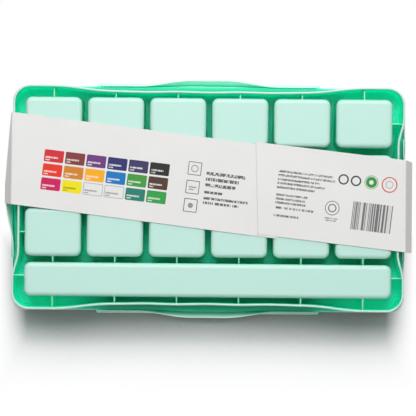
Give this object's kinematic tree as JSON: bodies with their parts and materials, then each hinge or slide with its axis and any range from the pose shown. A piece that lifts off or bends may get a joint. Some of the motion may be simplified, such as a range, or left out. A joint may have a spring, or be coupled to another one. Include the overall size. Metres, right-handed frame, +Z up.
{
  "type": "gouache paint set box",
  "caption": "Closed case for gouache cups: a ribbed tray with wells and a brush trough, cups with peel seals, a mixing palette, a lid with finger wings and a card band.",
  "frame": {"origin": "on the table, under the middle of the case", "axes": "+X along the case, +Y from the brush trough to the first row of cups, +Z up out of the lid"},
  "size_m": [0.332, 0.1938, 0.0408],
  "materials": {
    "tray_plastic": "satin moulded plastic",
    "lid_plastic": "satin moulded plastic",
    "palette_plastic": "gloss white",
    "printed_card": "printed coated card",
    "cup_plastic": "clear white plastic",
    "seal_film": "printed foil seal",
    "gouache_01": "crimson gouache, moist",
    "gouache_02": "madder gouache, moist",
    "gouache_03": "violet gouache, moist",
    "gouache_04": "ultramarine gouache, moist",
    "gouache_05": "indigo gouache, moist",
    "gouache_06": "black gouache, moist",
    "gouache_07": "vermilion gouache, moist",
    "gouache_08": "ochre gouache, moist",
    "gouache_09": "golden yellow gouache, moist",
    "gouache_10": "blue gouache, moist",
    "gouache_11": "green gouache, moist",
    "gouache_12": "umber gouache, moist",
    "gouache_13": "magenta gouache, moist",
    "gouache_14": "lemon gouache, moist",
    "gouache_15": "titanium white gouache, moist",
    "gouache_16": "zinc white gouache, moist",
    "gouache_17": "blue-green gouache, moist",
    "gouache_18": "deep green gouache, moist"
  },
  "bodies": {
    "base": {"base_tray": "tray_plastic"},
    "band": {"sleeve": "printed_card"},
    "cup_set": {"cup_01": "cup_plastic", "cup_02": "cup_plastic", "cup_03": "cup_plastic", "cup_04": "cup_plastic", "cup_05": "cup_plastic", "cup_06": "cup_plastic", "cup_07": "cup_plastic", "cup_08": "cup_plastic", "cup_09": "cup_plastic", "cup_10": "cup_plastic", "cup_11": "cup_plastic", "cup_12": "cup_plastic", "cup_13": "cup_plastic", "cup_14": "cup_plastic", "cup_15": "cup_plastic", "cup_16": "cup_plastic", "cup_17": "cup_plastic", "cup_18": "cup_plastic", "foil_01": "seal_film", "foil_02": "seal_film", "foil_03": "seal_film", "foil_04": "seal_film", "foil_05": "seal_film", "foil_06": "seal_film", "foil_07": "seal_film", "foil_08": "seal_film", "foil_09": "seal_film", "foil_10": "seal_film", "foil_11": "seal_film", "foil_12": "seal_film", "foil_13": "seal_film", "foil_14": "seal_film", "foil_15": "seal_film", "foil_16": "seal_film", "foil_17": "seal_film", "foil_18": "seal_film", "paint_01": "gouache_01", "paint_02": "gouache_02", "paint_03": "gouache_03", "paint_04": "gouache_04", "paint_05": "gouache_05", "paint_06": "gouache_06", "paint_07": "gouache_07", "paint_08": "gouache_08", "paint_09": "gouache_09", "paint_10": "gouache_10", "paint_11": "gouache_11", "paint_12": "gouache_12", "paint_13": "gouache_13", "paint_14": "gouache_14", "paint_15": "gouache_15", "paint_16": "gouache_16", "paint_17": "gouache_17", "paint_18": "gouache_18"},
    "palette": {"mixing_palette": "palette_plastic"},
    "cover": {"lid": "lid_plastic"}
  },
  "joints": [
    {"name": "sleeve_slide", "type": "slide", "parent": "base", "child": "band", "axis": [0, 1, 0], "range_m": [0, 0.15], "deforming": ["sleeve"]},
    {"name": "cups_lift", "type": "slide", "parent": "base", "child": "cup_set", "axis": [0, 0, 1], "range_m": [0, 0.045]},
    {"name": "palette_lift", "type": "slide", "parent": "cup_set", "child": "palette", "axis": [0, 0, 1], "range_m": [0, 0.03]},
    {"name": "lid_lift", "type": "slide", "parent": "palette", "child": "cover", "axis": [0, 0, 1], "range_m": [0, 0.05]}
  ]
}
